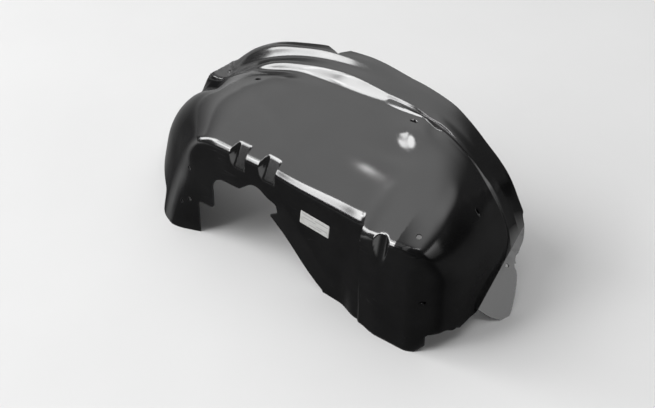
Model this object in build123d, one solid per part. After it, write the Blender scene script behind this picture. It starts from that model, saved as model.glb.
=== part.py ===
"""Wheel arch liner: one vacuum formed plastic sheet, with a blank paper label stuck to it.

The sheet is the space between two forming tools: the outer skin, and the same skin one sheet thickness
further in. It is then trimmed and pierced. X runs along the car, Y from the inner wall out to the arch
rim, and Z is up. While the liner is built, X is counted from the middle of the arch.
"""
from build123d import *
import os
from collections import namedtuple
from math import cos, hypot, radians, sin, sqrt, tan

# Sheet, roundings and the step in the inner wall
sheet = 2.5                 # thickness of the formed sheet
edge_round = 12             # rounding from the inner wall up into the crown
wall_step = 20              # the left panel of the inner wall sits this far behind the right panel
crease_x = 195              # where the right panel starts
skirt = 6                   # how far the walls run on below the feet of the arch sections
overrun = 12                # how far a cut runs past the open edges of the sheet
round_angles = (0, 25, 55, 90)   # degrees, where the rounded edge has its sections
rise_half_angle = 22.5      # degrees, half the slope of the ramps in the rim

# Arch sections, from the inner wall out to the rim
Arch = namedtuple("Arch", "depth foot_left knee_left round_left knee_right round_right foot_right")
ridge = Arch(wall_step + edge_round, -227, (-177, 207), 95, (334, 206), 72, 336)
waist = Arch(85, -295.5, (-225, 224), 165, (347, 226), 115, 348)
middle = Arch(150, -356, (-290, 240), 290, (351, 247), 165, 351)
crown_edge = Arch(208, -391, (-245, 266), 440, (353, 261), 219, 352)
shelf_inner = Arch(222, -393, (-138, 292), 388, (353, 255.5), 247, 351)
shelf_outer = Arch(241, -395, (-172, 294), 448, (353, 266), 262, 350)
lip_top = Arch(254, -396, (-170, 307.5), 375, (357, 260), 266, 348)
rim = Arch(270, -397, (-196, 320.5), 420, (362, 252), 261, 346)

# Two chutes pressed into the ridge, and a half-round groove in the right panel
chute_places = (-56, 7)
chute_width = 25
chute_depth = 22
chute_drop = 26
groove_x = 238
groove_radius = 15
groove_foot = 152           # height where the groove runs out of the panel
groove_lean = 12            # degrees

# Strip beside the cut-out, folded back from the left panel
fold_top = (37, 146)
fold_foot = (139, 17)
fold_angle = 15             # degrees

# Left foot of the wall, bowed forward, as corners in plan on the floor and at its top
bow_height = 105
bow_foot = ((-148, 21), (-210, 1), (-224, 21))
bow_top = ((-172, 21), (-186, 18), (-190, 21))

# Level platform at the left end of the rim, with a free edge on its left
platform_level = 166
platform_left = -290
platform_right = -205

# Cut-out for the suspension in the left panel, as its corners from the left foot round to the right foot
cutout_left = -152
hook_level = 62
hook_x = -117
cutout_top = 133
cutout_tooth = -57
cutout_peak = (-24, 160)
cutout_shoulder = (17, 132)
cutout_throat = (13, 108)
cutout_lip = (-11, 88)
cutout_foot = 107
cutout_round = 8
cutout_wide_round = 22

# Lower edge at the right end: a nick beside the tip, then a low stretch as far as the flange
tip_x = 319
tip_height = 29
tip_reach = 42
end_height = 21
end_round = 12

# End flange, on a crease that climbs the right end towards the rim
flange_foot = (350, 120, 22)
flange_head = (342, 259, 91)
flange_corner = (382, 151, -6)
flange_edge = ((29, -55), (71, -41), (105, -14), (134, -14))   # along the crease, and out from it
flange_tail = 11            # how far the flange runs past the head of its crease
flange_lap = 6              # how far the flange laps under the end wall

# Notch in the rim
notch_mouth = (-66, -14)
notch_point = (-30, 253)

# Clip holes, screw holes and slots
clip_diameter = 8
clip_x = -170
clip_levels = (59, 122)
peg_diameter = 6
peg_place = (-188, 47)
screw_diameter = 8
screw_place = (313, 97)
shelf_hole_diameter = 9
shelf_hole_place = (288, 26)
platform_hole_diameter = 6
platform_hole_place = (-265, 241)
flange_hole_diameter = 7
flange_hole_place = (87, -8)
slot_length = 10
slot_width = 4
crown_slots = ((-151, 190, 232), (161, 197, 258))
end_slot = (316, 150, 184)

# Blank paper label on the left panel
label_width = 57
label_height = 26
label_thickness = 0.3
label_place = (99, 136)
label_turn = -6             # degrees


def shifted(start, end, inset):
    """Line from start to end, moved to its right, as a point and a direction."""
    run = (end - start).normalized()
    return start + Vector(run.Y, -run.X) * inset, run


def crossing(first, second):
    """Point where two such lines meet."""
    (start, run), (other_start, other_run) = first, second
    return start + run * ((other_start - start).cross(other_run).Z / run.cross(other_run).Z)


def rounded(outline, point, radius):
    """Outline with the corner nearest to a point rounded off."""
    return fillet(outline.vertices().sort_by_distance(Vector(*point))[0], radius)


def section(arch, inset_left, inset_top, inset_right, floor):
    """Closed arch outline at its depth, with each of its three sides moved inwards."""
    knee_left = Vector(*arch.knee_left)
    knee_right = Vector(*arch.knee_right)
    left = shifted(Vector(arch.foot_left, 0), knee_left, inset_left)
    top = shifted(knee_left, knee_right, inset_top)
    right = shifted(knee_right, Vector(arch.foot_right, 0), inset_right)
    ground = (Vector(0, floor), Vector(1, 0))
    corners = [crossing(left, ground), crossing(left, top), crossing(top, right), crossing(right, ground)]
    outline = make_face(Polyline(*corners, close=True))
    outline = rounded(outline, corners[1], arch.round_left - min(inset_left, inset_top))
    outline = rounded(outline, corners[2], arch.round_right - min(inset_top, inset_right))
    return Plane.XZ.offset(-arch.depth) * outline


def arch_at(depth):
    """Arch outline near the wall, on straight lines through the ridge and the waist."""
    share = (depth - ridge.depth) / (waist.depth - ridge.depth)

    def blend(near, far):
        if isinstance(near, tuple):
            return tuple(blend(a, b) for a, b in zip(near, far))
        return near + (far - near) * share

    return Arch(*[blend(near, far) for near, far in zip(ridge, waist)])


def slab(low, high):
    """Box between two corner points."""
    low, high = Vector(*low), Vector(*high)
    size = high - low
    return Pos(low + size * 0.5) * Box(size.X, size.Y, size.Z)


def chute(x, inset):
    """Wedge above the sloping floor of a chute in the ridge."""
    slope = chute_drop / chute_depth
    sink = inset * hypot(1, slope)
    ridge_level = arch_at(wall_step).knee_left[1]
    front = wall_step - chute_depth
    back = wall_step + 2 * chute_depth
    front_level = ridge_level - 2 * chute_drop - sink
    back_level = ridge_level + chute_drop - sink
    wedge = make_face(Polyline((front, front_level), (back, back_level), (front, back_level), close=True))
    width = chute_width + 2 * inset
    return Pos(x - width / 2, 0, 0) * extrude(Plane.YZ * wedge, width)


def groove(inset):
    """Half-round groove that leans out of the right panel at its foot."""
    radius = groove_radius + inset
    start = -radius / cos(radians(groove_lean))
    length = 2 * groove_foot
    rod = Pos(0, 0, length / 2) * Cylinder(radius, length)
    return Pos(groove_x, start, groove_foot) * Rot(-groove_lean, 0, 0) * rod


def fold(inset):
    """Wedge in front of the strip that is folded back beside the cut-out."""
    top = Vector(fold_top[0], 0, fold_top[1])
    along = (Vector(fold_foot[0], 0, fold_foot[1]) - top).normalized()
    across = Vector(0, 1, 0).cross(along)
    slope = tan(radians(fold_angle))
    lead = wall_step / slope / 2
    front = wall_step - lead * slope
    reach = fold_top[0] - hook_x
    back = wall_step + reach * slope
    profile = make_face(Polyline((-lead, front), (reach, back), (reach, front), close=True))
    wedge = extrude(Plane(top, across, along) * profile, 2 * fold_top[1])
    inward = Vector(0, cos(radians(fold_angle)), 0) - across * sin(radians(fold_angle))
    return Pos(inward * inset) * wedge


def bow(inset):
    """Forward bow of the wall's left foot, fading out upwards."""
    low = -skirt - (overrun if inset else 0)
    foot = Plane.XY.offset(low) * make_face(Polyline(*bow_foot, close=True))
    top = Plane.XY.offset(bow_height) * make_face(Polyline(*bow_top, close=True))
    front, left = Vector(*bow_foot[0]) - Vector(*bow_foot[1]), Vector(*bow_foot[2]) - Vector(*bow_foot[1])
    inward = front.normalized() + left.normalized()
    sharpness = sin(radians(front.get_angle(left) / 2))
    return Pos(inward.normalized() * (inset / sharpness)) * loft([foot, top], ruled=True)


def tool(inset):
    """Forming tool, with every face moved inwards by inset."""
    floor = -skirt - (overrun if inset else 0)
    spread = (ridge.foot_left - crown_edge.foot_left) / (crown_edge.depth - ridge.depth)
    left_inset = inset * hypot(1, spread)
    rise_shift = inset * tan(radians(rise_half_angle))
    edge = edge_round - inset
    corner = ridge.depth - inset

    def wall_section(wall, depth):
        """Section behind a wall panel, drawn in by the roundings of its upper edge and right corner."""
        edge_left = max(edge - (depth - wall - inset), 0)
        corner_left = max(corner - (depth - inset), 0)
        drop = edge - sqrt(max(edge**2 - edge_left**2, 0))
        side = corner - sqrt(max(corner**2 - corner_left**2, 0))
        return section(arch_at(depth), left_inset + drop, inset + drop, inset + side, floor)

    steps = [inset + edge * (1 - cos(radians(angle))) for angle in round_angles]
    plain = inset > 0
    left_wall = loft([wall_section(wall_step, wall_step + step) for step in steps], ruled=plain)
    right_wall = loft([wall_section(0, depth) for depth in steps + [wall_step, ridge.depth]], ruled=plain)
    end = ridge.depth + overrun
    low = -skirt - 2 * overrun
    left_wall &= slab((2 * rim.foot_left, -overrun, low), (crease_x + inset, end, end + rim.depth))
    right_wall &= slab((crease_x + inset, -overrun, low), (2 * rim.foot_right, end, end + rim.depth))

    crown_sections = [section(arch, left_inset, inset, inset, floor) for arch in (ridge, waist, middle)]
    outer_sections = []
    for arch in (crown_edge, shelf_inner, shelf_outer, lip_top, rim):
        moved = arch._replace(depth=arch.depth + rise_shift)
        outer_sections.append(section(moved, left_inset, inset, inset, floor))
    crown = loft(crown_sections + outer_sections[:1])
    border = loft(outer_sections, ruled=True)
    platform = slab(
        (platform_left + inset, crown_edge.depth + inset, floor),
        (platform_right, rim.depth + rise_shift, platform_level - inset),
    )
    solid = left_wall + right_wall + crown + border + platform + bow(inset)
    for x in chute_places:
        solid -= chute(x, inset)
    return solid - groove(inset) - fold(inset)


def cutout():
    """Opening in the left panel for the suspension."""
    low = -skirt - overrun
    corners = [
        ((cutout_left, low), 0),
        ((cutout_left, hook_level), cutout_round),
        ((hook_x, hook_level), cutout_round),
        ((hook_x, cutout_top), cutout_wide_round),
        ((cutout_tooth, cutout_top), cutout_round),
        (cutout_peak, cutout_wide_round),
        (cutout_shoulder, cutout_round),
        (cutout_throat, cutout_round),
        (cutout_lip, 0),
        ((cutout_foot, 0), 0),
        ((cutout_foot, low), 0),
    ]
    outline = make_face(Polyline(*[point for point, _ in corners], close=True))
    for point, radius in corners:
        if radius:
            outline = rounded(outline, point, radius)
    return extrude(Plane.XZ.offset(-waist.depth) * outline, 2 * waist.depth)


def end_trim():
    """What is cut away under the right end, seen along X."""
    nick = (tip_reach, tip_height)
    foot = (tip_reach + tip_height - end_height, end_height)
    end = flange_foot[1]
    low = -skirt - overrun
    outline = make_face(Polyline(
        (-overrun, low), (-overrun, tip_height), nick, foot, (end, end_height), (end, low), close=True
    ))
    outline = rounded(rounded(outline, nick, end_round), foot, end_round)
    return Pos(tip_x, 0, 0) * extrude(Plane.YZ * outline, flange_corner[0] - tip_x)


def rim_notch():
    """Open notch in the rim, seen from above."""
    mouth = [(x, rim.depth + sheet) for x in notch_mouth]
    vee = make_face(Polyline(notch_point, *mouth, close=True))
    return extrude(Plane.XY.offset(lip_top.knee_right[1]) * vee, lip_top.knee_left[1] - lip_top.knee_right[1])


def pierce(place, axis, diameter):
    """Round hole through the sheet."""
    return Plane(place, z_dir=axis) * Cylinder(diameter / 2, 3 * overrun)


def slot(place, axis):
    """Slot for a clip, through the sheet, with its length along the car."""
    cut = extrude(SlotOverall(slot_length, slot_width), 3 * overrun / 2, both=True)
    return Plane(place, x_dir=Vector(0, 1, 0).cross(Vector(*axis)), z_dir=axis) * cut


liner = tool(0) - tool(sheet)

# End flange: its plane cuts the end wall short, and the plate laps under what is left of it
foot, head, corner = Vector(*flange_foot), Vector(*flange_head), Vector(*flange_corner)
crease = head - foot
flange_plane = Plane(foot, crease, (corner - foot).cross(crease))
corner_place = flange_plane.to_local_coords(corner)
start = (corner_place.X, corner_place.Y)
tail = (crease.length + flange_tail, 0)
lap = Polyline(tail, (tail[0], flange_lap), (0, flange_lap), (0, 0), start)
flange_outline = make_face(Spline(start, *flange_edge, tail) + lap)
reach = crease.length
waste = slab((-reach / 4, -reach / 2, -reach), (2 * reach, reach / 4, -sheet / 2))
liner -= flange_plane * waste
liner += extrude(flange_plane * flange_outline, -sheet)

# Edges: the cut-out, the right end, the rim and the floor that the liner stands on
liner -= cutout()
liner -= end_trim()
liner -= rim_notch()
far = 2 * rim.foot_right
liner -= slab((-far, -far, -far), (far, far, -skirt))

# Past the platform's free edge the sheet stops at the edge of the crown
edge_line = crown_edge.depth + sheet
liner -= slab((-far, edge_line, -far), (platform_left + 2 * sheet, far, far))

# Holes and slots
for level in clip_levels:
    liner -= pierce((clip_x, wall_step, level), (0, -1, 0), clip_diameter)
liner -= pierce((peg_place[0], wall_step, peg_place[1]), (0, -1, 0), peg_diameter)
liner -= pierce((screw_place[0], 0, screw_place[1]), (0, -1, 0), screw_diameter)
liner -= pierce((*shelf_hole_place, ridge.knee_right[1]), (0, 0, 1), shelf_hole_diameter)
liner -= pierce((*platform_hole_place, platform_level), (0, 0, 1), platform_hole_diameter)
liner -= flange_plane * Pos(*flange_hole_place) * Cylinder(flange_hole_diameter / 2, 2 * sheet)
for spot in crown_slots:
    liner -= slot(spot, (0, 0, 1))
liner -= slot(end_slot, (1, 0, 1))

label = Plane.XZ.offset(-wall_step) * Pos(*label_place) * Rot(0, 0, label_turn)
label *= Pos(0, 0, label_thickness / 2) * Box(label_width, label_height, label_thickness)

# The liner's frame has its origin under its middle, on the floor
box = liner.bounding_box()
place = Pos(-box.center().X, -box.center().Y, -box.min.Z)
os.makedirs("parts", exist_ok=True)
export_step(place * liner, "parts/arch_liner.step")
export_step(place * label, "parts/blank_label.step")
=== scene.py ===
"""Wheel arch liner: one formed sheet of black plastic with a blank paper label, on a pale studio floor."""
import math

import bmesh
import bpy
import numpy as np
from mathutils import Matrix, Vector


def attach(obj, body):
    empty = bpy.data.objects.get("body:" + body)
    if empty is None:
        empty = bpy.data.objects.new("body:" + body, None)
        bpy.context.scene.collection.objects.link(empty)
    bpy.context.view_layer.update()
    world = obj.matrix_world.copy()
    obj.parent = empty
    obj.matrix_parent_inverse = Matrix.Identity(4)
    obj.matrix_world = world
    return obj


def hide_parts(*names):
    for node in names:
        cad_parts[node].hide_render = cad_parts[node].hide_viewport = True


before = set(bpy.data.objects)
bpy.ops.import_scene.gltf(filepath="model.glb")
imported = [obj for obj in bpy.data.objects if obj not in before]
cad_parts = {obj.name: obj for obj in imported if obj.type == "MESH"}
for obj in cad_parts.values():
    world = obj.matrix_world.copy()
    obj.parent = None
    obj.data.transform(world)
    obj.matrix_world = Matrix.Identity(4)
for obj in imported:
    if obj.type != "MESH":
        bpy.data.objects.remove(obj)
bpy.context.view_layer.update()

# Formed liner: one sheet of black plastic, heated, drawn down over a tool and trimmed, with no joint in it.
# Its main shape is an arch that changes from the inner wall out to the rim. Sizes are in millimetres: X from
# the middle of the arch, Y from the inner wall out to the rim, Z up from the feet of the arch.
frame_shift = (5.5493, -135.0, 6.0)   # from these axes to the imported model's
sheet_thickness = 2.5
skirt = 6.0                           # how far the sheet runs on below the feet
crown_arches, crown_depth = 4, 208    # the crown takes the first arches, up to this depth
rim_bend = 3.0                        # half width of the soft bends in the rim
# Depth, left foot, left knee (X, Z) and its rounding, right knee (X, Z) and its rounding, right foot
arches = (
    (32, -227, -177, 207, 95, 334, 206, 72, 336),
    (85, -295.5, -225, 224, 165, 347, 226, 115, 348),
    (150, -356, -290, 240, 290, 351, 247, 165, 351),
    (208, -391, -245, 266, 440, 353, 261, 219, 352),
    (222, -393, -138, 292, 388, 353, 255.5, 247, 351),
    (241, -395, -172, 294, 448, 353, 266, 262, 350),
    (254, -396, -170, 307.5, 375, 357, 260, 266, 348),
    (270, -397, -196, 320.5, 420, 362, 252, 261, 346),
)
(
    arch_depths, left_feet, left_knees_x, left_knees_z, left_rounds,
    right_knees_x, right_knees_z, right_rounds, right_feet,
) = zip(*arches)


def soft_step(value, start, end):
    """0 before start, 1 after end, with a smooth climb between."""
    share = np.clip((value - start) / (end - start), 0, 1)
    return share * share * (3 - 2 * share)


def soft_ramp(value, blend):
    """0 below zero and the value above it, with a rounded bend."""
    bent = np.clip(value + blend, 0, 2 * blend)
    return bent * bent / (4 * blend) + np.maximum(value - blend, 0)


def bell(offset, half):
    """1 in the middle, falling away smoothly on both sides."""
    return np.exp(-((offset / half) ** 2) / 2)


def along_depth(sizes, depth):
    """A size of the arch at a depth: one smooth curve over the crown, soft bends over the rim."""
    crown = np.polyfit(arch_depths[:crown_arches], sizes[:crown_arches], crown_arches - 1)
    total = 0
    bends = np.linspace(-rim_bend, rim_bend, 9)
    for bend in bends:
        at = depth + bend
        total = total + np.where(at < crown_depth, np.polyval(crown, at), np.interp(at, arch_depths, sizes))
    return total / len(bends)


def arch_line(depth, run):
    """Points of the arch and its inward direction.

    Run goes from 0 to 5: left side, corner, top, corner, right side.
    """
    foot_l = np.stack([along_depth(left_feet, depth), 0 * depth], -1)
    knee_l = np.stack([along_depth(left_knees_x, depth), along_depth(left_knees_z, depth)], -1)
    knee_r = np.stack([along_depth(right_knees_x, depth), along_depth(right_knees_z, depth)], -1)
    foot_r = np.stack([along_depth(right_feet, depth), 0 * depth], -1)
    turn_l, turn_r = along_depth(left_rounds, depth), along_depth(right_rounds, depth)

    def unit(span):
        return span / np.linalg.norm(span, axis=-1, keepdims=True)

    def inward(way):
        return np.stack([way[..., 1], -way[..., 0]], -1)

    def corner(knee, way_in, way_out, radius, share):
        angle = np.arccos(np.clip((way_in * way_out).sum(-1), -1, 1))
        reach = (radius * np.tan(angle / 2))[..., None]
        start, end = knee - way_in * reach, knee + way_out * reach
        centre = start + inward(way_in) * radius[..., None]
        swing = (angle * share)[..., None]
        normal = inward(way_in) * np.cos(swing) - way_in * np.sin(swing)
        return start, end, centre - normal * radius[..., None], normal

    up, over, down = unit(knee_l - foot_l), unit(knee_r - knee_l), unit(foot_r - knee_r)
    share = [np.clip(run - part, 0, 1)[..., None] for part in range(5)]
    start_l, end_l, round_l, normal_l = corner(knee_l, up, over, turn_l, share[1][..., 0])
    start_r, end_r, round_r, normal_r = corner(knee_r, over, down, turn_r, share[3][..., 0])
    floor_l = foot_l - up * (skirt / up[..., 1:])
    floor_r = foot_r + down * (skirt / -down[..., 1:])
    left = floor_l + (start_l - floor_l) * share[0]
    top = end_l + (start_r - end_l) * share[2]
    right = end_r + (floor_r - end_r) * share[4]
    parts = [run[..., None] < end for end in (1, 2, 3, 4)]
    point = np.select(parts, [left, round_l, top, round_r], right)
    normal = np.select(parts, [inward(up), normal_l, inward(over), normal_r], inward(down))
    return point, normal


# Inner wall of the sheet: a set-back left panel, a right panel in front of it, and the strip beside the
# cut-out folded back between them.
left_panel = 20.0                               # how far the left panel stands behind the right one
crease_x = 195.0                                # where the right panel starts
crease_span = (crease_x - 3, crease_x + 4)
lean, lean_span, lean_height = 13, (146, 192), 170   # low down the left panel comes forward at the crease
fold_top, fold_foot = np.array((37.0, 146.0)), np.array((139.0, 17.0))
fold_slope, fold_bend = math.tan(math.radians(15)), 3
fold_start, fold_fade = (-22, 16), (-90, -40)   # along the fold from its top, and in X before the cut-out
fold_floor_share, fold_full_height = 0.4, 70    # the fold is weaker at the floor


def wall_face(x, z):
    """Y of the inner wall."""
    low = 1 - np.clip(z / lean_height, 0, 1)
    left = left_panel - lean * soft_step(x, *lean_span) * low
    y = left * (1 - soft_step(x, *crease_span))
    way = (fold_foot - fold_top) / np.linalg.norm(fold_foot - fold_top)
    side = (x - fold_top[0]) * way[1] - (z - fold_top[1]) * way[0]
    below = (x - fold_top[0]) * way[0] + (z - fold_top[1]) * way[1]
    hold = fold_floor_share + (1 - fold_floor_share) * soft_step(z, 0, fold_full_height)
    hold = soft_step(below, *fold_start) * soft_step(x, *fold_fade) * hold
    return y + fold_slope * soft_ramp(side, fold_bend) * hold


# Net of the sheet: columns round the arch, with rows over the wall's rounded edge and across the crown to
# the rim, and a grid of its own for the wall. Columns stand closer where the wall has its pressings.
wall_rows, edge_rows, near_rows, crown_rows, rim_rows = 52, 10, 16, 28, 40
near_depth, rim_row_depth = 70, 200        # where the crown's rows and the rim's closer rows start
wall_corners = (1.5, 3.5)                  # runs where the wall's sides meet its top
corner_columns, right_columns = 56, 18
columns = ((-102, 8), (-78, 44), (-30, 5), (-18, 50), (34, 44), (184, 22), (208, 5), (218, 40), (262, 0))
top_left, top_right = columns[0][0], columns[-1][0]
round_runs = (0, 1, 1.6, 2.3, 2.45, 2.64, 2.78, 2.84, 3, 3.5, 4, 5)
edge_rounds = (28, 34, 11, 9, 11, 15, 17, 11, 8, 14, 32, 32)   # rounding of the wall's edge at those runs
dip_fade = (34, 160)                       # depths over which the dips of the edge die out in the crown
top_x = []
for (here, count), (there, _) in zip(columns, columns[1:]):
    top_x.extend(np.linspace(here, there, count, endpoint=False))
climbs = 1 - (1 - np.linspace(0, 1, wall_rows + 1)) ** 1.4


def wall_edge(runs):
    """Rounding, depth and place of the wall's edge."""
    rounding = np.interp(runs, round_runs, edge_rounds)
    ridge_point, _ = arch_line(np.full_like(runs, arch_depths[0]), runs)
    depth = np.where(ridge_point[:, 0] < crease_x, left_panel, 0)
    for _ in range(4):
        point, normal = arch_line(depth, runs)
        place = point + normal * rounding[:, None]
        depth = wall_face(place[:, 0], place[:, 1])
    return rounding, depth, place


def side_runs(first, last):
    """Runs of the columns that meet the wall's rows, from the floor up."""
    fine = np.linspace(first, last, 300)
    place = wall_edge(fine)[2]
    length = np.concatenate([[0], np.cumsum(np.linalg.norm(np.diff(place, axis=0), axis=1))])
    return np.interp(climbs, length / length[-1], fine)


def grid_faces(grid):
    """Four-sided faces of a grid of point numbers."""
    return np.stack([grid[:-1, :-1], grid[:-1, 1:], grid[1:, 1:], grid[1:, :-1]], -1).reshape(-1, 4)


left_runs = side_runs(0, wall_corners[0])[:-1]
right_runs = side_runs(5, wall_corners[1])[:-1]
top_runs = np.concatenate([
    np.linspace(wall_corners[0], 2, corner_columns, endpoint=False),
    2 + (np.array(top_x) - top_left) / (top_right - top_left),
    np.linspace(3, wall_corners[1], right_columns),
])
runs = np.concatenate([left_runs, top_runs, right_runs[::-1]])
edge_round, depth, wall_top = wall_edge(runs)
rows, lift = [], []
for angle in np.radians(np.linspace(0, 90, edge_rows, endpoint=False)):
    y = depth + edge_round * (1 - math.cos(angle))
    point, normal = arch_line(y, runs)
    flat = point + normal * (edge_round * (1 - math.sin(angle)))[:, None]
    rows.append(np.stack([flat[:, 0], y, flat[:, 1]], -1))
    lift.append(np.ones_like(runs))
edge_end = depth + edge_round
near = [edge_end + (near_depth - edge_end) * share for share in np.linspace(0, 1, near_rows, endpoint=False)]
far_depths = (
    *np.linspace(near_depth, rim_row_depth, crown_rows, endpoint=False),
    *np.linspace(rim_row_depth, arch_depths[-1], rim_rows),
)
for y in near + [np.full_like(runs, far_depth) for far_depth in far_depths]:
    point, normal = arch_line(y, runs)
    rows.append(np.stack([point[:, 0], y, point[:, 1]], -1))
    lift.append(1 - soft_step(y, *dip_fade))
row_count, column_count = len(rows), len(runs)

first_top, after_top = wall_rows, wall_rows + len(top_runs)
upper = wall_top[first_top:after_top]
top_ends = np.interp((2, 3), top_runs, upper[:, 0])
lower_x = np.interp(
    top_runs, (wall_corners[0], 2, 3, wall_corners[1]), (wall_top[0, 0], *top_ends, wall_top[-1, 0])
)
lower_x = np.where((top_runs >= 2) & (top_runs <= 3), upper[:, 0], lower_x)
lower_z = np.interp(lower_x, (lower_x[0], lower_x[-1]), (wall_top[0, 1], wall_top[-1, 1]))
lower = np.stack([lower_x, lower_z], -1)
near_left = (1 - soft_step(np.arange(len(top_runs)), 0, 40))[:, None]
near_right = near_left[::-1]
wall = []
for row, climb in enumerate(climbs[:-1]):
    flat = lower + (upper - lower) * climb
    flat = flat + near_left * (wall_top[row] - flat[0]) + near_right * (wall_top[-1 - row] - flat[-1])
    wall.append(np.stack([flat[:, 0], wall_face(flat[:, 0], flat[:, 1]), flat[:, 1]], -1))
    lift.append(np.full(len(top_runs), climb ** 3))
points = np.concatenate([np.array(rows).reshape(-1, 3), np.array(wall).reshape(-1, 3)])
lift = np.concatenate(lift)
x, y, z = points[:, 0], points[:, 1], points[:, 2]

net_size = row_count * column_count
index = np.arange(net_size).reshape(row_count, column_count)
wall_index = net_size + np.arange(wall_rows * len(top_runs)).reshape(wall_rows, len(top_runs))
wall_index[:, 0] = index[0, :first_top]
wall_index[:, -1] = index[0, ::-1][:wall_rows]
wall_index = np.concatenate([wall_index, index[:1, first_top:after_top]])
faces = grid_faces(index).tolist() + grid_faces(wall_index).tolist()

# Bow of the right panel: it stands back at the crease and comes forward towards the corner.
bow_back, bow_forward, bow_depth = 2, 8, 45
bow = bow_back - bow_forward * soft_step(x, 197, 238) * (1 - soft_step(x, 288, 328))
bow = bow * soft_step(x, *crease_span) * (0.4 + 0.6 * (1 - np.clip(z / 200, 0, 1)))
y += bow * (1 - soft_step(y, 0, bow_depth))

# Upper edge of the wall: it dips towards the crease and rises to a small flat shelf at the right corner.
edge_marks = (10, 40, 70, 110, 150, 180, 195, 205, 222, 250, 263, 274, 289, 300, 312, 330)
edge_dips = (0, 5, 8, 10, 12, 15, 14, 9, 5, 2, 2, 0, -3, -8, -9, 0)


def eased_line(at, marks, heights, width):
    """Heights between marks along the car, zero past them, smoothed over a number of 5 mm steps."""
    along = np.linspace(-400, 400, 161)
    line = np.interp(along, marks, heights, 0, 0)
    return np.interp(at, along, np.convolve(line, np.hanning(width) / np.hanning(width).sum(), "same"))


z -= lift * soft_step(z, 130, 175) * eased_line(x, edge_marks, edge_dips, 13)

# Left foot of the wall, bowed forward to a tab that stands on the floor.
tab_height, tab_forward = 105, 20
tab_start, tab_run, tab_fade = -148, 58, (230, 290)
bow = np.clip((tab_start - x) / tab_run, 0, 1) * (1 - soft_step(-x, *tab_fade))
y -= tab_forward * soft_ramp(1 - z / tab_height, 0.1) * bow

# Two chutes pressed into the upper edge of the left panel, each with a sloping floor.
chute_top, chute_depth, chute_drop, chute_bend = 210, 22, 38, 2
chute_slope = math.hypot(chute_depth, chute_drop)
for left, right in ((-68, -44), (-8, 18)):
    above = ((z - chute_top + chute_drop) * chute_depth - (y - left_panel) * chute_drop) / chute_slope
    sides = soft_step(x, left - 7, left + 4) * (1 - soft_step(x, right - 2, right + 2))
    sunk = soft_ramp(above, chute_bend) * sides
    y += sunk * chute_drop / chute_slope
    z -= sunk * chute_depth / chute_slope

# Half-round groove in the right panel, which leans back out of it.
groove_x, groove_radius, groove_bend = 238.0, 15.5, 2
groove_foot, groove_lean, groove_forward = 152.0, math.tan(math.radians(14)), 1
across = np.clip(1 - ((x - groove_x) / groove_radius) ** 2, 0, 1)
back = groove_radius * (np.sqrt(across) - 1) + (z - groove_foot) * groove_lean - groove_forward
y += np.where(across > 0, soft_ramp(back - y, groove_bend), 0)

# Small rises and falls along the edge of the crown, the edge of the shelf and the rim.
crown_marks = (
    -330, -300, -272, -243, -211, -175, -141, -119, -84, -59, -33, 60, 150, 177, 193, 210, 240, 270,
)
crown_rises = (0, 2, -2, -4, -2, 0, -3, -2.5, -0.5, -0.5, -2, -1.5, 0, 4, -2, 2, 1, 0)
shelf_marks = (-250, -214, -187, -163, -130, -88, -58, -22, 19, 59, 118, 157, 171, 196, 225, 260)
shelf_rises = (0, -4, 0, 4, 3.5, 1.5, 0.5, 0, 1, -0.7, -1.5, 0, -1, 3, 2, 0)
rim_marks = (-276, -228, -171, -118, -92, -16, 37, 69, 110, 160, 194, 226, 258, 285, 307, 330)
rim_rises = (-3, 2.5, 2.5, -2, -2.5, -1.7, 1.4, 1, -1, 0.5, 3, -1, -4.6, 0, 4, 0)
for marks, rises, share in (
    (crown_marks, crown_rises, soft_step(y, 186, 206) * (1 - soft_step(y, 208, 222))),
    (shelf_marks, shelf_rises, soft_step(y, 208, 222) * (1 - soft_step(y, 222, 241))),
    (rim_marks, rim_rises, soft_step(y, 241, 262)),
):
    z += eased_line(x, marks, rises, 7) * share * soft_step(z, 60, 120)

# On the right the ramp below the shelf breaks into two narrow steps.
on_top = 150     # level above which the sheet is crown or rim
rise = np.interp(x, (95, 125, 150, 200, 250, 285), (0, 9, 9, 8, 6, 0))
steps = 0.5 * soft_step(y, 207.5, 211.5) + 0.5 * soft_step(y, 218, 222) - np.clip((y - 208) / 14, 0, 1)
z += rise * steps * (z > on_top)

# Soft bumps, a long hollow and a ridge on the right shoulder, left where the sheet cooled unevenly on the
# tool. Each bump has its place, its half lengths along and across the car, and its height.
bumps = (
    ((178, 178), (19, 14), 7.5),
    ((174, 144), (24, 17), -6.5),
    ((146, 107), (34, 13), 4.0),
    ((-76, 184), (11, 6), 3.0),
)
for (bump_x, bump_y), (half_x, half_y), height in bumps:
    z += height * bell(x - bump_x, half_x) * bell(y - bump_y, half_y) * (z > on_top)
hollow_depth, hollow_half = 2.6, 24
hollow = np.array([(-110, 140), (-67, 117), (-16, 93), (37, 62), (73, 43), (110, 25)])
beside = x - np.interp(-y, -hollow[:, 1], hollow[:, 0])
ends = soft_step(y, 48, 75) * (1 - soft_step(y, 118, 160))
z -= hollow_depth * bell(beside, hollow_half) * ends * (z > on_top)
ridge_height, ridge_half = 3.0, 9
ridge_x = np.interp(y, (60, 110, 150), (304, 296, 283))
ends = soft_step(y, 55, 85) * (1 - soft_step(y, 125, 165))
z += ridge_height * bell(x - ridge_x, ridge_half) * ends * (z > 120)

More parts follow.
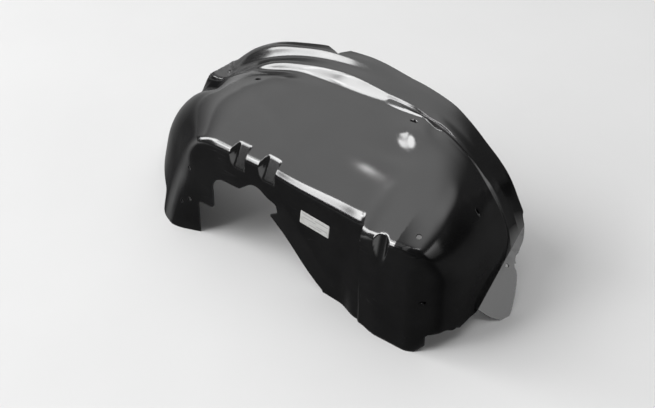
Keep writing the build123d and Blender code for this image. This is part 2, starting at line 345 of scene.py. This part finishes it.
# Level pad at the left end of the rim, which runs into the shelf on its right. The crown falls in a hollow
# to the foot of the pad's upright front.
pad_level, pad_bend, pad_front, pad_left, pad_right = 166.0, 9, (206, 214), (-307, -290), -180
hollow_depth, hollow_x, hollow_y, hollow_skew = 21, -260, 205, 0.75
beside = x - hollow_x - hollow_skew * (hollow_y - y)
ends = soft_step(y, 120, 212) * (1 - soft_step(y, 209, 214))
z -= hollow_depth * bell(beside, np.where(beside > 0, 12, 26)) * ends * (z > 100)
ends = soft_step(y, *pad_front) * soft_step(x, *pad_left) * (x < pad_right)
z += soft_ramp(pad_level - z, pad_bend) * ends

# End flange: below its crease the right end turns outwards into a flat plate.
flange_foot, flange_head, flange_corner = (
    np.array(place, float) for place in ((350, 120, 22), (342, 259, 91), (382, 151, -6))
)
flange_from_x, flange_from_y = 280, 60     # the flange is looked for past these
flange_spread = 2                          # stretch of the rows that become the plate
crease_pull = 50                           # height over which the end wall is drawn to the crease
crease_way = (flange_head - flange_foot) / np.linalg.norm(flange_head - flange_foot)
flange_out = flange_corner - flange_foot
flange_out = flange_out - crease_way * (flange_out @ crease_way)
flange_out = flange_out / np.linalg.norm(flange_out)
flange_normal = np.cross(crease_way, flange_out)
net = points[:net_size].reshape(row_count, column_count, 3)
crease_z = flange_foot[2] + (net[..., 1] - flange_foot[1]) * crease_way[2] / crease_way[1]
crease_line = flange_foot[0] + (net[..., 1] - flange_foot[1]) * crease_way[0] / crease_way[1]
below = np.where(net[..., 0] > flange_from_x, crease_z - net[..., 2], -1)
crease_column = {}
for row in range(row_count):
    turned = below[row] > 0
    if net[row, :, 1].min() > flange_from_y and turned.any():
        first = np.argmax(turned)
        share = below[row, first] / (below[row, first] - below[row, first - 1])
        start = net[row, first] + (net[row, first - 1] - net[row, first]) * share
        drift = crease_line[row, first] - start[0]
        near_crease = ~turned & (net[row, :, 0] > flange_from_x)
        net[row, near_crease, 0] += drift * (1 - soft_step(-below[row, near_crease], 0, crease_pull))
        start[0] += drift
        net[row, first - 1] = start
        net[row, turned] = start + flange_out * (below[row, turned] * flange_spread)[:, None]
        crease_column[row] = first - 1
# Where the crease moves on by a column or more, triangles carry it across, so that it stays straight.
for row, last in crease_column.items():
    new = crease_column.get(row + 1, last)
    for column in range(new, last):
        wall_side = [index[row, column], index[row, column + 1], index[row + 1, new]]
        plate_side = [index[row, last], index[row + 1, column + 1], index[row + 1, column]]
        faces[row * (column_count - 1) + column] = wall_side
        faces.append(plate_side)


# Trimming of the sheet: the cut-out for the suspension, the lower edges, the flange and the rim's notch.
def trim(points, faces, keep):
    """Cut the sheet along the line where keep is zero, and drop what lies below zero."""
    value = keep(points)
    value = np.where(np.abs(value) < 0.15, 0, value)
    points = list(points)
    cuts = {}

    def cut(a, b):
        pair = (min(a, b), max(a, b))
        if pair not in cuts:
            share = value[a] / (value[a] - value[b])
            cuts[pair] = len(points)
            points.append(points[a] + (points[b] - points[a]) * share)
        return cuts[pair]

    kept = []
    for face in faces:
        signs = [value[i] for i in face]
        if min(signs) >= 0:
            kept.append(face)
        elif max(signs) > 0:
            shape = []
            for a, b in zip(face, list(face[1:]) + [face[0]]):
                if value[a] >= 0:
                    shape.append(a)
                if value[a] * value[b] < 0:
                    shape.append(cut(a, b))
            if len(shape) > 2:
                kept.append(shape)
    return np.array(points), kept


def rounded_outline(corners):
    """Outline of a cut, with each corner rounded by its own radius."""
    outline = []
    for i, (place, radius) in enumerate(corners):
        here = np.array(place, float)
        back = np.array(corners[i - 1][0]) - here
        ahead = np.array(corners[(i + 1) % len(corners)][0]) - here
        back, ahead = back / np.linalg.norm(back), ahead / np.linalg.norm(ahead)
        half = math.acos(np.clip(back @ ahead, -1, 1)) / 2
        inside = (back + ahead) / np.linalg.norm(back + ahead)
        middle = here + inside * radius / math.sin(half)
        turned = np.array((inside[1], -inside[0]))
        way = 1 if turned @ ahead > 0 else -1
        swing = math.pi / 2 - half
        for angle in np.linspace(-swing, swing, 8 if radius else 1):
            outline.append(middle + radius * (way * turned * math.sin(angle) - inside * math.cos(angle)))
    return np.array(outline)


def outside(outline, u, v):
    """Distance from an outline, negative within it."""
    gap = np.full(u.shape, 1e9)
    within = np.zeros(u.shape, bool)
    for (u0, v0), (u1, v1) in zip(outline, np.roll(outline, -1, 0)):
        span = (u1 - u0) ** 2 + (v1 - v0) ** 2
        if span == 0:
            continue
        share = np.clip(((u - u0) * (u1 - u0) + (v - v0) * (v1 - v0)) / span, 0, 1)
        gap = np.minimum(gap, np.hypot(u - u0 - share * (u1 - u0), v - v0 - share * (v1 - v0)))
        crosses = (v0 > v) != (v1 > v)
        if v1 != v0:
            within ^= crosses & (u < u0 + (v - v0) * (u1 - u0) / (v1 - v0))
    return np.where(within, -gap, gap)


# Outlines: the cut-out in X and Z, and the right end's foot in Y and Z, with each corner's rounding, then the
# flange along and out from its crease, and the notch in X and Y
cutout = rounded_outline([
    ((-152, -40), 0), ((-152, 62), 8), ((-117, 62), 8), ((-117, 133), 28), ((-57, 133), 8), ((-24, 160), 22),
    ((17, 132), 8), ((13, 108), 8), ((-11, 88), 0), ((111, -3), 0), ((111, -40), 0),
])
end_cut = rounded_outline([
    ((-40, -60), 0), ((-40, 29), 0), ((40, 29), 14), ((56, 19), 14), ((72, 23), 8), ((92, 25), 8),
    ((108, 21), 4), ((119, 19), 0), ((119, -60), 0),
])
flange_outline = np.array([
    (-4, -12), (-3, 0), (-1, 23), (4, 40), (10, 51.5), (20, 56), (29, 55.5), (42, 51.5), (56, 47),
    (71, 40.5), (85, 32.5), (96, 22.5), (106, 15), (120, 14.5), (135, 13.5), (150, 7), (166, -3), (166, -12),
])
rim_notch = np.array([(-66, 272), (-30, 253), (-14, 272)])
end_x, tip_x, tip_slope = 319, 307, 1.1    # where the end's foot is cut, and the slope up to it from the tip
free_edge_y = 209                          # left of the pad the sheet stops here


def keep_flange(p):
    """Outline of the flange, for the points on its plate."""
    along, out = (p - flange_foot) @ crease_way, (p - flange_foot) @ flange_out
    on_plate = (np.abs((p - flange_foot) @ flange_normal) < 0.5) & (out > -0.5) & (p[:, 0] > 330)
    return np.where(on_plate, -outside(flange_outline, along, out), 1)


def keep_free_edge(p):
    """Edge of the crown below and left of the pad, where no rim follows."""
    left_of_pad = 0.43 * p[:, 2] - 361 + 0.12 * (p[:, 1] - free_edge_y) - p[:, 0]
    return -np.minimum(left_of_pad, p[:, 1] - free_edge_y)


for keep in (
    lambda p: np.where(p[:, 1] < 85, outside(cutout, p[:, 0], p[:, 2]), 1),
    lambda p: -np.minimum(p[:, 0] - end_x, -outside(end_cut, p[:, 1], p[:, 2])),
    keep_flange,
    lambda p: p[:, 2] + skirt,
    lambda p: np.where(p[:, 2] > 200, outside(rim_notch, p[:, 0], p[:, 1]), 1),
    keep_free_edge,
    lambda p: np.where(
        (p[:, 0] > 300) & (p[:, 1] < 26), (p[:, 2] + skirt - tip_slope * (p[:, 0] - tip_x)) * 0.67, 1
    ),
):
    points, faces = trim(points, faces, keep)

# Holes for clips and screws. The round ones are punched through, and the long ones are pressed in as blind
# pockets. Each has its middle, the way its length runs, the way it is punched, its length and its width.
along_car, through_wall, upward = (1, 0, 0), (0, 1, 0), (0, 0, 1)
pocket_depth, hole_reach = 6, 14
flange_hole = flange_foot + crease_way * 87 + flange_out * 8
holes = (
    ((-170, 20, 59), along_car, through_wall, 8, 8),
    ((-170, 20, 122), along_car, through_wall, 8, 8),
    ((-188, 14, 47), along_car, through_wall, 6, 6),
    ((313, 0, 97), along_car, through_wall, 8, 7),
    ((288, 26, 208), along_car, upward, 9, 9),
    ((-265, 241, 166), along_car, upward, 6, 6),
    ((-137, 172, 234), along_car, upward, 10, 4.5),
    ((161, 197, 258), along_car, upward, 10, 4.5),
    ((316, 150, 184), (0.707, 0, -0.707), (0.707, 0, 0.707), 10, 4.5),
    (flange_hole, crease_way, flange_normal, 7, 7),
)


def quarter(points, faces, near):
    """Split the four-sided faces near a hole into quarters, so that the hole comes out round."""
    close = near(points)
    points = list(points)
    middles = {}

    def middle(*corners):
        corners = tuple(sorted(corners))
        if corners not in middles:
            middles[corners] = len(points)
            points.append(sum(points[i] for i in corners) / len(corners))
        return middles[corners]

    kept, whole = [], []
    for face in faces:
        if len(face) == 4 and any(close[i] for i in face):
            sides = [middle(a, b) for a, b in zip(face, list(face[1:]) + [face[0]])]
            centre = middle(*face)
            kept += [[corner, sides[i], centre, sides[i - 1]] for i, corner in enumerate(face)]
        else:
            whole.append(face)
    for face in whole:
        shape = []
        for a, b in zip(face, list(face[1:]) + [face[0]]):
            shape.append(a)
            if (min(a, b), max(a, b)) in middles:
                shape.append(middles[min(a, b), max(a, b)])
        kept.append(shape)
    return np.array(points), kept


def hole_gap(p, place, length_way, punch_way, length, width):
    """Distance from the edge of a hole, negative within it."""
    off = p - np.array(place, float)
    past_end = np.maximum(np.abs(off @ np.array(length_way)) - (length - width) / 2, 0)
    gap = np.hypot(past_end, off @ np.cross(punch_way, length_way)) - width / 2
    return np.where(np.abs(off @ np.array(punch_way)) < hole_reach, gap, 99)


for hole in holes:
    place, _, punch_way, length, width = hole
    for margin in (12, 6, 3, 1.5) if place is flange_hole else (3.5, 1.5):
        points, faces = quarter(points, faces, lambda p: hole_gap(p, *hole) < margin)
    if length == width:
        points, faces = trim(points, faces, lambda p: hole_gap(p, *hole))
    else:
        sunk = pocket_depth if punch_way is through_wall else -pocket_depth
        points += np.outer(1 - soft_step(hole_gap(points, *hole), -1.2, 0.4), np.array(punch_way)) * sunk

# Shine and edges: the upright faces, the left flank and the right end came out duller than the crown, and
# what was cut keeps a sharp edge.
dish_x, dish_z, dish_half, dish_above, dish_below = 262, 112, 91, 98, 150   # dull dish in the right panel
end_from_x = 300
sharp_turn = math.radians(50)


def shine_at(place, normal):
    """Share of the shine at a point of the sheet."""
    upright = soft_step(-normal.y, 0.82, 0.96)
    if place[0] > dish_x:
        height = dish_above if place[2] > dish_z else dish_below
        dish = ((place[0] - dish_x) / dish_half) ** 2 + ((place[2] - dish_z) / height) ** 2
        upright = max(upright, (1 - soft_step(dish, 0.75, 1.2)) * soft_step(-normal.y, 0.1, 0.5))
    flank = (0.95 - 0.3 * soft_step(place[1], 70, 150)) * soft_step(-normal.x, 0.3, 0.6)
    off_flange = abs((place - flange_foot) @ flange_normal)
    end = soft_step(normal.x, 0.6, 0.85) if place[0] > end_from_x and off_flange > 1 else 0
    return (1 - 0.95 * upright) * (1 - flank) * (1 - 0.9 * end)


def on_crease(vertex):
    """Whether a point lies on the crease of the flange."""
    off = np.array(vertex.co) * 1000 - frame_shift - flange_foot
    return np.linalg.norm(np.cross(off, crease_way)) < 0.3


liner_mesh = bpy.data.meshes.new("formed_liner")
liner_mesh.from_pydata(((points + frame_shift) / 1000).tolist(), [], faces)
liner_mesh.polygons.foreach_set("use_smooth", [True] * len(liner_mesh.polygons))
shape = bmesh.new()
shape.from_mesh(liner_mesh)
bmesh.ops.delete(shape, geom=[v for v in shape.verts if not v.link_faces], context="VERTS")
bmesh.ops.remove_doubles(shape, verts=shape.verts, dist=0.00005)
edge_mark = shape.verts.layers.float.new("trimmed_edge")
shine_mark = shape.verts.layers.float.new("shine")
shape.normal_update()
for vertex in shape.verts:
    vertex[shine_mark] = shine_at(np.array(vertex.co) * 1000 - frame_shift, vertex.normal)
for side in shape.edges:
    if side.is_boundary:
        side.smooth = False
        for vertex in side.verts:
            vertex[edge_mark] = 1
    elif side.calc_face_angle(0) > sharp_turn or all(on_crease(vertex) for vertex in side.verts):
        side.smooth = False
shape.to_mesh(liner_mesh)
shape.free()
liner = bpy.data.objects.new("formed_liner", liner_mesh)
thick = liner.modifiers.new("sheet thickness", "SOLIDIFY")
thick.thickness = sheet_thickness / 1000
thick.offset = -1
thick.material_offset_rim = 1
bpy.context.scene.collection.objects.link(liner)
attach(liner, "root")
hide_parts("arch_liner")


# Finish of the sheet: black plastic, coloured right through, with the satin shine that the heated sheet
# takes from the tool. It has a faint orange peel, soft ripples from the drawing, and scuffs from handling.
def add_node(tree, kind, settings=None, **values):
    """New shader node, with its settings and the values of its sockets."""
    node = tree.nodes.new("ShaderNode" + kind)
    for name, value in (settings or {}).items():
        setattr(node, name, value)
    for name, value in values.items():
        node.inputs[name.replace("_", " ")].default_value = value
    return node


def new_group(name, inputs, outputs):
    """Empty node group with named sockets, each input with its usual value."""
    group = bpy.data.node_groups.new(name, "ShaderNodeTree")
    for label, usual in inputs.items():
        socket = group.interface.new_socket(label, in_out="INPUT", socket_type="NodeSocketFloat")
        socket.default_value = usual
    for label in outputs:
        group.interface.new_socket(label, in_out="OUTPUT", socket_type="NodeSocketFloat")
    return group, group.nodes.new("NodeGroupInput"), group.nodes.new("NodeGroupOutput")


def place_group(tree, group, **values):
    """One use of a node group in a material."""
    node = tree.nodes.new("ShaderNodeGroup")
    node.node_tree = group
    for name, value in values.items():
        node.inputs[name.replace("_", " ")].default_value = value
    return node


grain, grain_in, grain_out = new_group(
    "mottle_and_grain",
    {"Mottle scale": 14, "Grain scale": 700, "Ripple scale": 26},
    ("Mottle", "Grain", "Ripple"),
)
spot = add_node(grain, "TexCoord")
for socket, detail in (("Mottle", 5), ("Grain", 2), ("Ripple", 1)):
    noise = add_node(grain, "TexNoise", Detail=detail, Roughness=0.55)
    grain.links.new(spot.outputs["Object"], noise.inputs["Vector"])
    grain.links.new(grain_in.outputs[socket + " scale"], noise.inputs["Scale"])
    grain.links.new(noise.outputs["Fac"], grain_out.inputs[socket])

scuffs, scuffs_in, scuffs_out = new_group("handling_scuffs", {"Scale": 9, "Fineness": 0.012}, ("Scuff",))
spot = add_node(scuffs, "TexCoord")
stretch = add_node(scuffs, "Mapping", Scale=(1, 9, 9), Rotation=(0.2, 0.35, 0.5))
lines = add_node(scuffs, "TexNoise", Detail=1, Roughness=0.5, Distortion=0.15)
patches = add_node(scuffs, "TexNoise", Scale=17, Detail=2)
centred = add_node(scuffs, "Math", {"operation": "SUBTRACT"})
centred.inputs[1].default_value = 0.5
thin = add_node(scuffs, "Math", {"operation": "ABSOLUTE"})
line_mask = add_node(scuffs, "MapRange", {"clamp": True}, From_Min=0, To_Min=1, To_Max=0)
patch_mask = add_node(scuffs, "MapRange", {"clamp": True}, From_Min=0.55, From_Max=0.68)
both = add_node(scuffs, "Math", {"operation": "MULTIPLY"})
scuffs.links.new(spot.outputs["Object"], stretch.inputs["Vector"])
scuffs.links.new(stretch.outputs["Vector"], lines.inputs["Vector"])
scuffs.links.new(scuffs_in.outputs["Scale"], lines.inputs["Scale"])
scuffs.links.new(spot.outputs["Object"], patches.inputs["Vector"])
scuffs.links.new(lines.outputs["Fac"], centred.inputs[0])
scuffs.links.new(centred.outputs[0], thin.inputs[0])
scuffs.links.new(thin.outputs[0], line_mask.inputs["Value"])
scuffs.links.new(scuffs_in.outputs["Fineness"], line_mask.inputs["From Max"])
scuffs.links.new(patches.outputs["Fac"], patch_mask.inputs["Value"])
scuffs.links.new(line_mask.outputs["Result"], both.inputs[0])
scuffs.links.new(patch_mask.outputs["Result"], both.inputs[1])
scuffs.links.new(both.outputs[0], scuffs_out.inputs["Scuff"])


def mix_colours(tree, share, first, second):
    """Colour mix node; first may be a colour or another node's output."""
    mix = add_node(tree, "Mix", {"data_type": "RGBA"})
    tree.links.new(share, mix.inputs["Factor"])
    for socket, colour in ((mix.inputs[6], first), (mix.inputs[7], second)):
        if isinstance(colour, tuple):
            socket.default_value = colour
        else:
            tree.links.new(colour, socket)
    return mix.outputs[2]


def share_of(tree, source, low, high, from_low=0.0, from_high=1.0):
    """Value that runs from low to high with its source."""
    part = add_node(
        tree, "MapRange", {"clamp": True}, From_Min=from_low, From_Max=from_high, To_Min=low, To_Max=high
    )
    tree.links.new(source, part.inputs["Value"])
    return part.outputs["Result"]


def add_up(tree, *sources):
    """Sum of values."""
    total = sources[0]
    for source in sources[1:]:
        plus = add_node(tree, "Math", {"operation": "ADD"})
        tree.links.new(total, plus.inputs[0])
        tree.links.new(source, plus.inputs[1])
        total = plus.outputs[0]
    return total


scuff_grey, worn_grey = (0.09, 0.09, 0.092, 1), (0.05, 0.05, 0.051, 1)
ripple_height, grain_height, scuff_height = 0.00035, 0.000025, -0.00001   # metres


def plastic(name, dark, light, roughness, gloss):
    """Black plastic finish, from its two colours, its range of roughness and its gloss where it shines."""
    material = bpy.data.materials.new(name)
    material.use_nodes = True
    tree = material.node_tree
    shader = tree.nodes["Principled BSDF"]
    shader.inputs["Specular IOR Level"].default_value = 0.0
    shader.inputs["Coat Roughness"].default_value = 0.16
    shader.inputs["Coat IOR"].default_value = 1.95
    surface = place_group(tree, grain)
    scuff = place_group(tree, scuffs)
    border = add_node(tree, "Attribute", {"attribute_name": "trimmed_edge"})
    shiny = add_node(tree, "Attribute", {"attribute_name": "shine"})
    if gloss:
        tree.links.new(share_of(tree, shiny.outputs["Fac"], 0, gloss), shader.inputs["Coat Weight"])
    colour = mix_colours(tree, share_of(tree, surface.outputs["Mottle"], 0, 1, 0.35, 0.65), dark, light)
    colour = mix_colours(tree, share_of(tree, scuff.outputs["Scuff"], 0, 0.15), colour, scuff_grey)
    colour = mix_colours(tree, share_of(tree, border.outputs["Fac"], 0, 0.5), colour, worn_grey)
    tree.links.new(colour, shader.inputs["Base Color"])
    rough = add_up(
        tree,
        share_of(tree, surface.outputs["Mottle"], *roughness, 0.3, 0.7),
        share_of(tree, scuff.outputs["Scuff"], 0, 0.1),
        share_of(tree, border.outputs["Fac"], 0, 0.12),
        share_of(tree, shiny.outputs["Fac"], 0.15, 0),
    )
    tree.links.new(rough, shader.inputs["Roughness"])
    height = add_up(
        tree,
        share_of(tree, surface.outputs["Ripple"], 0, ripple_height),
        share_of(tree, surface.outputs["Grain"], 0, grain_height),
        share_of(tree, scuff.outputs["Scuff"], 0, scuff_height),
    )
    bump = add_node(tree, "Bump", Strength=0.6, Distance=1)
    tree.links.new(height, bump.inputs["Height"])
    tree.links.new(bump.outputs["Normal"], shader.inputs["Normal"])
    return material


for finish in (
    ("satin_black", (0.005, 0.005, 0.0052, 1), (0.008, 0.008, 0.0082, 1), (0.28, 0.38), 0.9),
    ("sawn_edge", (0.02, 0.02, 0.021, 1), (0.045, 0.045, 0.046, 1), (0.45, 0.6), 0),
):
    liner_mesh.materials.append(plastic(*finish))

# Paper label: a printed sticker with rounded corners, stuck flat on the left panel of the wall. It is left
# blank here, with plain grey rules where a maker would print.
label_size, label_round, label_thickness, label_turn = (57.0, 26.0), 1.5, 0.3, math.radians(-6)
label_middle = np.array((99.0, 136.0))
rules = ((-24, -4, 8.4), (0, 25, 6.6), (-24, 2, 1.6), (4, 25, -3.4), (-10, 14, -7.6))   # ends and level
rule_height = 1.5
half_u, half_v = label_size[0] / 2, label_size[1] / 2
u_lines = {-half_u, label_round - half_u, half_u - label_round, half_u, *np.linspace(-26, 26, 27)}
u_lines.update(end for rule in rules for end in rule[:2])
v_lines = {-half_v, label_round - half_v, half_v - label_round, half_v}
v_lines.update(level + half for _, _, level in rules for half in (-rule_height / 2, rule_height / 2))
u, v = np.meshgrid(sorted(u_lines), sorted(v_lines))
corner_u = np.maximum(np.abs(u) - half_u + label_round, 0)
corner_v = np.maximum(np.abs(v) - half_v + label_round, 0)
pull = np.maximum(corner_u, corner_v) / np.maximum(np.hypot(corner_u, corner_v), 1e-9)
pull = np.where((corner_u > 0) & (corner_v > 0), pull, 1)
u = np.where(pull < 1, np.sign(u) * (half_u - label_round + corner_u * pull), u)
v = np.where(pull < 1, np.sign(v) * (half_v - label_round + corner_v * pull), v)
label_x = label_middle[0] + u * math.cos(label_turn) - v * math.sin(label_turn)
label_z = label_middle[1] + u * math.sin(label_turn) + v * math.cos(label_turn)
label_y = wall_face(label_x, label_z) - label_thickness - 0.05 * (1 + np.sin(u / 6) * np.cos(v / 5))
label_points = np.stack([label_x, label_y, label_z], -1).reshape(-1, 3)
label_faces = grid_faces(np.arange(u.size).reshape(u.shape))
label_mesh = bpy.data.meshes.new("paper_label")
label_mesh.from_pydata(((label_points + frame_shift) / 1000).tolist(), [], label_faces.tolist())
for face in label_mesh.polygons:
    face.use_smooth = True
    spot_u, spot_v = (places.ravel()[label_faces[face.index]].mean() for places in (u, v))
    if any(start < spot_u < end and abs(spot_v - level) < rule_height / 2 for start, end, level in rules):
        face.material_index = 1
label = bpy.data.objects.new("paper_label", label_mesh)
thick = label.modifiers.new("paper thickness", "SOLIDIFY")
thick.thickness = label_thickness / 1000
thick.offset = -1
bpy.context.scene.collection.objects.link(label)
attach(label, "root")
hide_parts("blank_label")


def paper(name, clean, dull):
    """Matt paper with fibres and a little dirt."""
    material = bpy.data.materials.new(name)
    material.use_nodes = True
    tree = material.node_tree
    shader = tree.nodes["Principled BSDF"]
    shader.inputs["Specular IOR Level"].default_value = 0.3
    fibre = place_group(tree, grain, Mottle_scale=120, Grain_scale=2600, Ripple_scale=300)
    colour = mix_colours(tree, share_of(tree, fibre.outputs["Mottle"], 0, 1, 0.4, 0.75), clean, dull)
    tree.links.new(colour, shader.inputs["Base Color"])
    tree.links.new(share_of(tree, fibre.outputs["Ripple"], 0.5, 0.68), shader.inputs["Roughness"])
    bump = add_node(tree, "Bump", Strength=0.4, Distance=1)
    tree.links.new(share_of(tree, fibre.outputs["Grain"], 0, 0.00003), bump.inputs["Height"])
    tree.links.new(bump.outputs["Normal"], shader.inputs["Normal"])
    return material


label_mesh.materials.append(paper("label_paper", (0.52, 0.52, 0.51, 1), (0.42, 0.42, 0.4, 1)))
label_mesh.materials.append(paper("label_rules", (0.3, 0.3, 0.3, 1), (0.36, 0.36, 0.35, 1)))

# Floor of a small studio: a pale painted board, wide enough to fill the view. It isn't part of the liner,
# which stands on it.
floor_reach = 9   # metres each way
floor_mesh = bpy.data.meshes.new("floor")
floor_corners = [
    (-floor_reach, -floor_reach, 0), (floor_reach, -floor_reach, 0),
    (floor_reach, floor_reach, 0), (-floor_reach, floor_reach, 0),
]
floor_mesh.from_pydata(floor_corners, [], [(0, 1, 2, 3)])
floor = bpy.data.objects.new("floor", floor_mesh)
bpy.context.scene.collection.objects.link(floor)
pale = bpy.data.materials.new("pale_floor")
pale.use_nodes = True
tree = pale.node_tree
shader = tree.nodes["Principled BSDF"]
board = place_group(tree, grain, Mottle_scale=3, Grain_scale=400, Ripple_scale=8)
floor_colour = mix_colours(tree, board.outputs["Mottle"], (0.6, 0.6, 0.6, 1), (0.64, 0.64, 0.64, 1))
tree.links.new(floor_colour, shader.inputs["Base Color"])
tree.links.new(share_of(tree, board.outputs["Ripple"], 0.8, 0.95), shader.inputs["Roughness"])
floor_mesh.materials.append(pale)

# Studio lights: four long softboxes far off to the front, the left and above draw the bright lines along the
# edges, and two small ones light the ends. A soft glow high up, as from a white ceiling, greys the crown.
light_aim = Vector((0, 0, 0.15))   # metres
strip_distance = 8.0


def softbox(name, way, distance, width, height, radiance):
    """Rectangular softbox in a direction from the liner, facing it; radiance is what a mirror would show."""
    lamp = bpy.data.lights.new(name, "AREA")
    lamp.shape, lamp.size, lamp.size_y = "RECTANGLE", width, height
    lamp.energy = radiance * math.pi * width * height
    holder = bpy.data.objects.new(name, lamp)
    holder.location = light_aim + Vector(way).normalized() * distance
    holder.rotation_mode = "QUATERNION"
    holder.rotation_quaternion = (light_aim - holder.location).to_track_quat("-Z", "Y")
    bpy.context.scene.collection.objects.link(holder)
    return holder


def strip(name, end, other_end, width, radiance):
    """Long softbox between two directions from the liner; its width is an angle in degrees."""
    end, other_end = Vector(end).normalized(), Vector(other_end).normalized()
    way, side = (end + other_end).normalized(), (end - other_end).normalized()
    length = 2 * strip_distance * math.tan(end.angle(other_end) / 2)
    breadth = 2 * strip_distance * math.tan(math.radians(width) / 2)
    holder = softbox(name, way, strip_distance, length, breadth, radiance)
    holder.rotation_quaternion = Matrix((side, way.cross(side), way)).transposed().to_quaternion()


strip("front_strip", (-0.42, -0.85, 0.3), (-0.36, -0.28, 0.89), 15, 8.6)
strip("left_strip", (-0.94, -0.24, 0.2), (-0.55, -0.24, 0.80), 15, 7.4)
strip("corner_strip", (-0.69, -0.34, 0.64), (-0.54, -0.61, 0.58), 12, 7.4)
strip("top_strip", (-0.1, -0.36, 0.93), (0.45, 0.08, 0.89), 5, 7.4)
softbox("left", (-0.92, 0.36, 0.15), 2.6, 1.5, 1.2, 0.6)
softbox("right", (0.93, 0.17, 0.34), 2.6, 1.1, 1.1, 1.5)
world = bpy.data.worlds.new("studio")
bpy.context.scene.world = world
world.use_nodes = True
tree = world.node_tree
way = add_node(tree, "TexCoord")
toward = add_node(tree, "VectorMath", {"operation": "DOT_PRODUCT"})
toward.inputs[1].default_value = Vector((-0.31, 0.32, 0.89)).normalized()
glow = add_node(
    tree, "MapRange", {"interpolation_type": "SMOOTHSTEP"},
    From_Min=0.5, From_Max=0.97, To_Min=0.07, To_Max=1.05,
)
tree.links.new(way.outputs["Generated"], toward.inputs[0])
tree.links.new(toward.outputs["Value"], glow.inputs["Value"])
tree.links.new(glow.outputs["Result"], tree.nodes["Background"].inputs["Strength"])
tree.nodes["Background"].inputs["Color"].default_value = (1, 1, 1, 1)

# Camera at the photograph's angle: in front of the inner wall, to its right and well above it, with a long
# lens. Its place, target and focal length, in pixels of a 655 pixel wide frame, fit the liner's outline.
camera_place, camera_target = (981.331, -1117.338, 1342.520), (116.090, 30.876, 178.277)
focal_pixels, frame_pixels, sensor_width = 1193.5, 655, 36
camera_data = bpy.data.cameras.new("camera")
camera = bpy.data.objects.new("camera", camera_data)
bpy.context.scene.collection.objects.link(camera)
camera_data.sensor_width = sensor_width
camera_data.lens = focal_pixels / frame_pixels * sensor_width
camera.location = (Vector(camera_place) + Vector(frame_shift)) / 1000
target = (Vector(camera_target) + Vector(frame_shift)) / 1000
camera.rotation_mode = "QUATERNION"
camera.rotation_quaternion = (target - camera.location).to_track_quat("-Z", "Y")
bpy.context.scene.camera = camera
bpy.context.scene.view_settings.view_transform = "Standard"
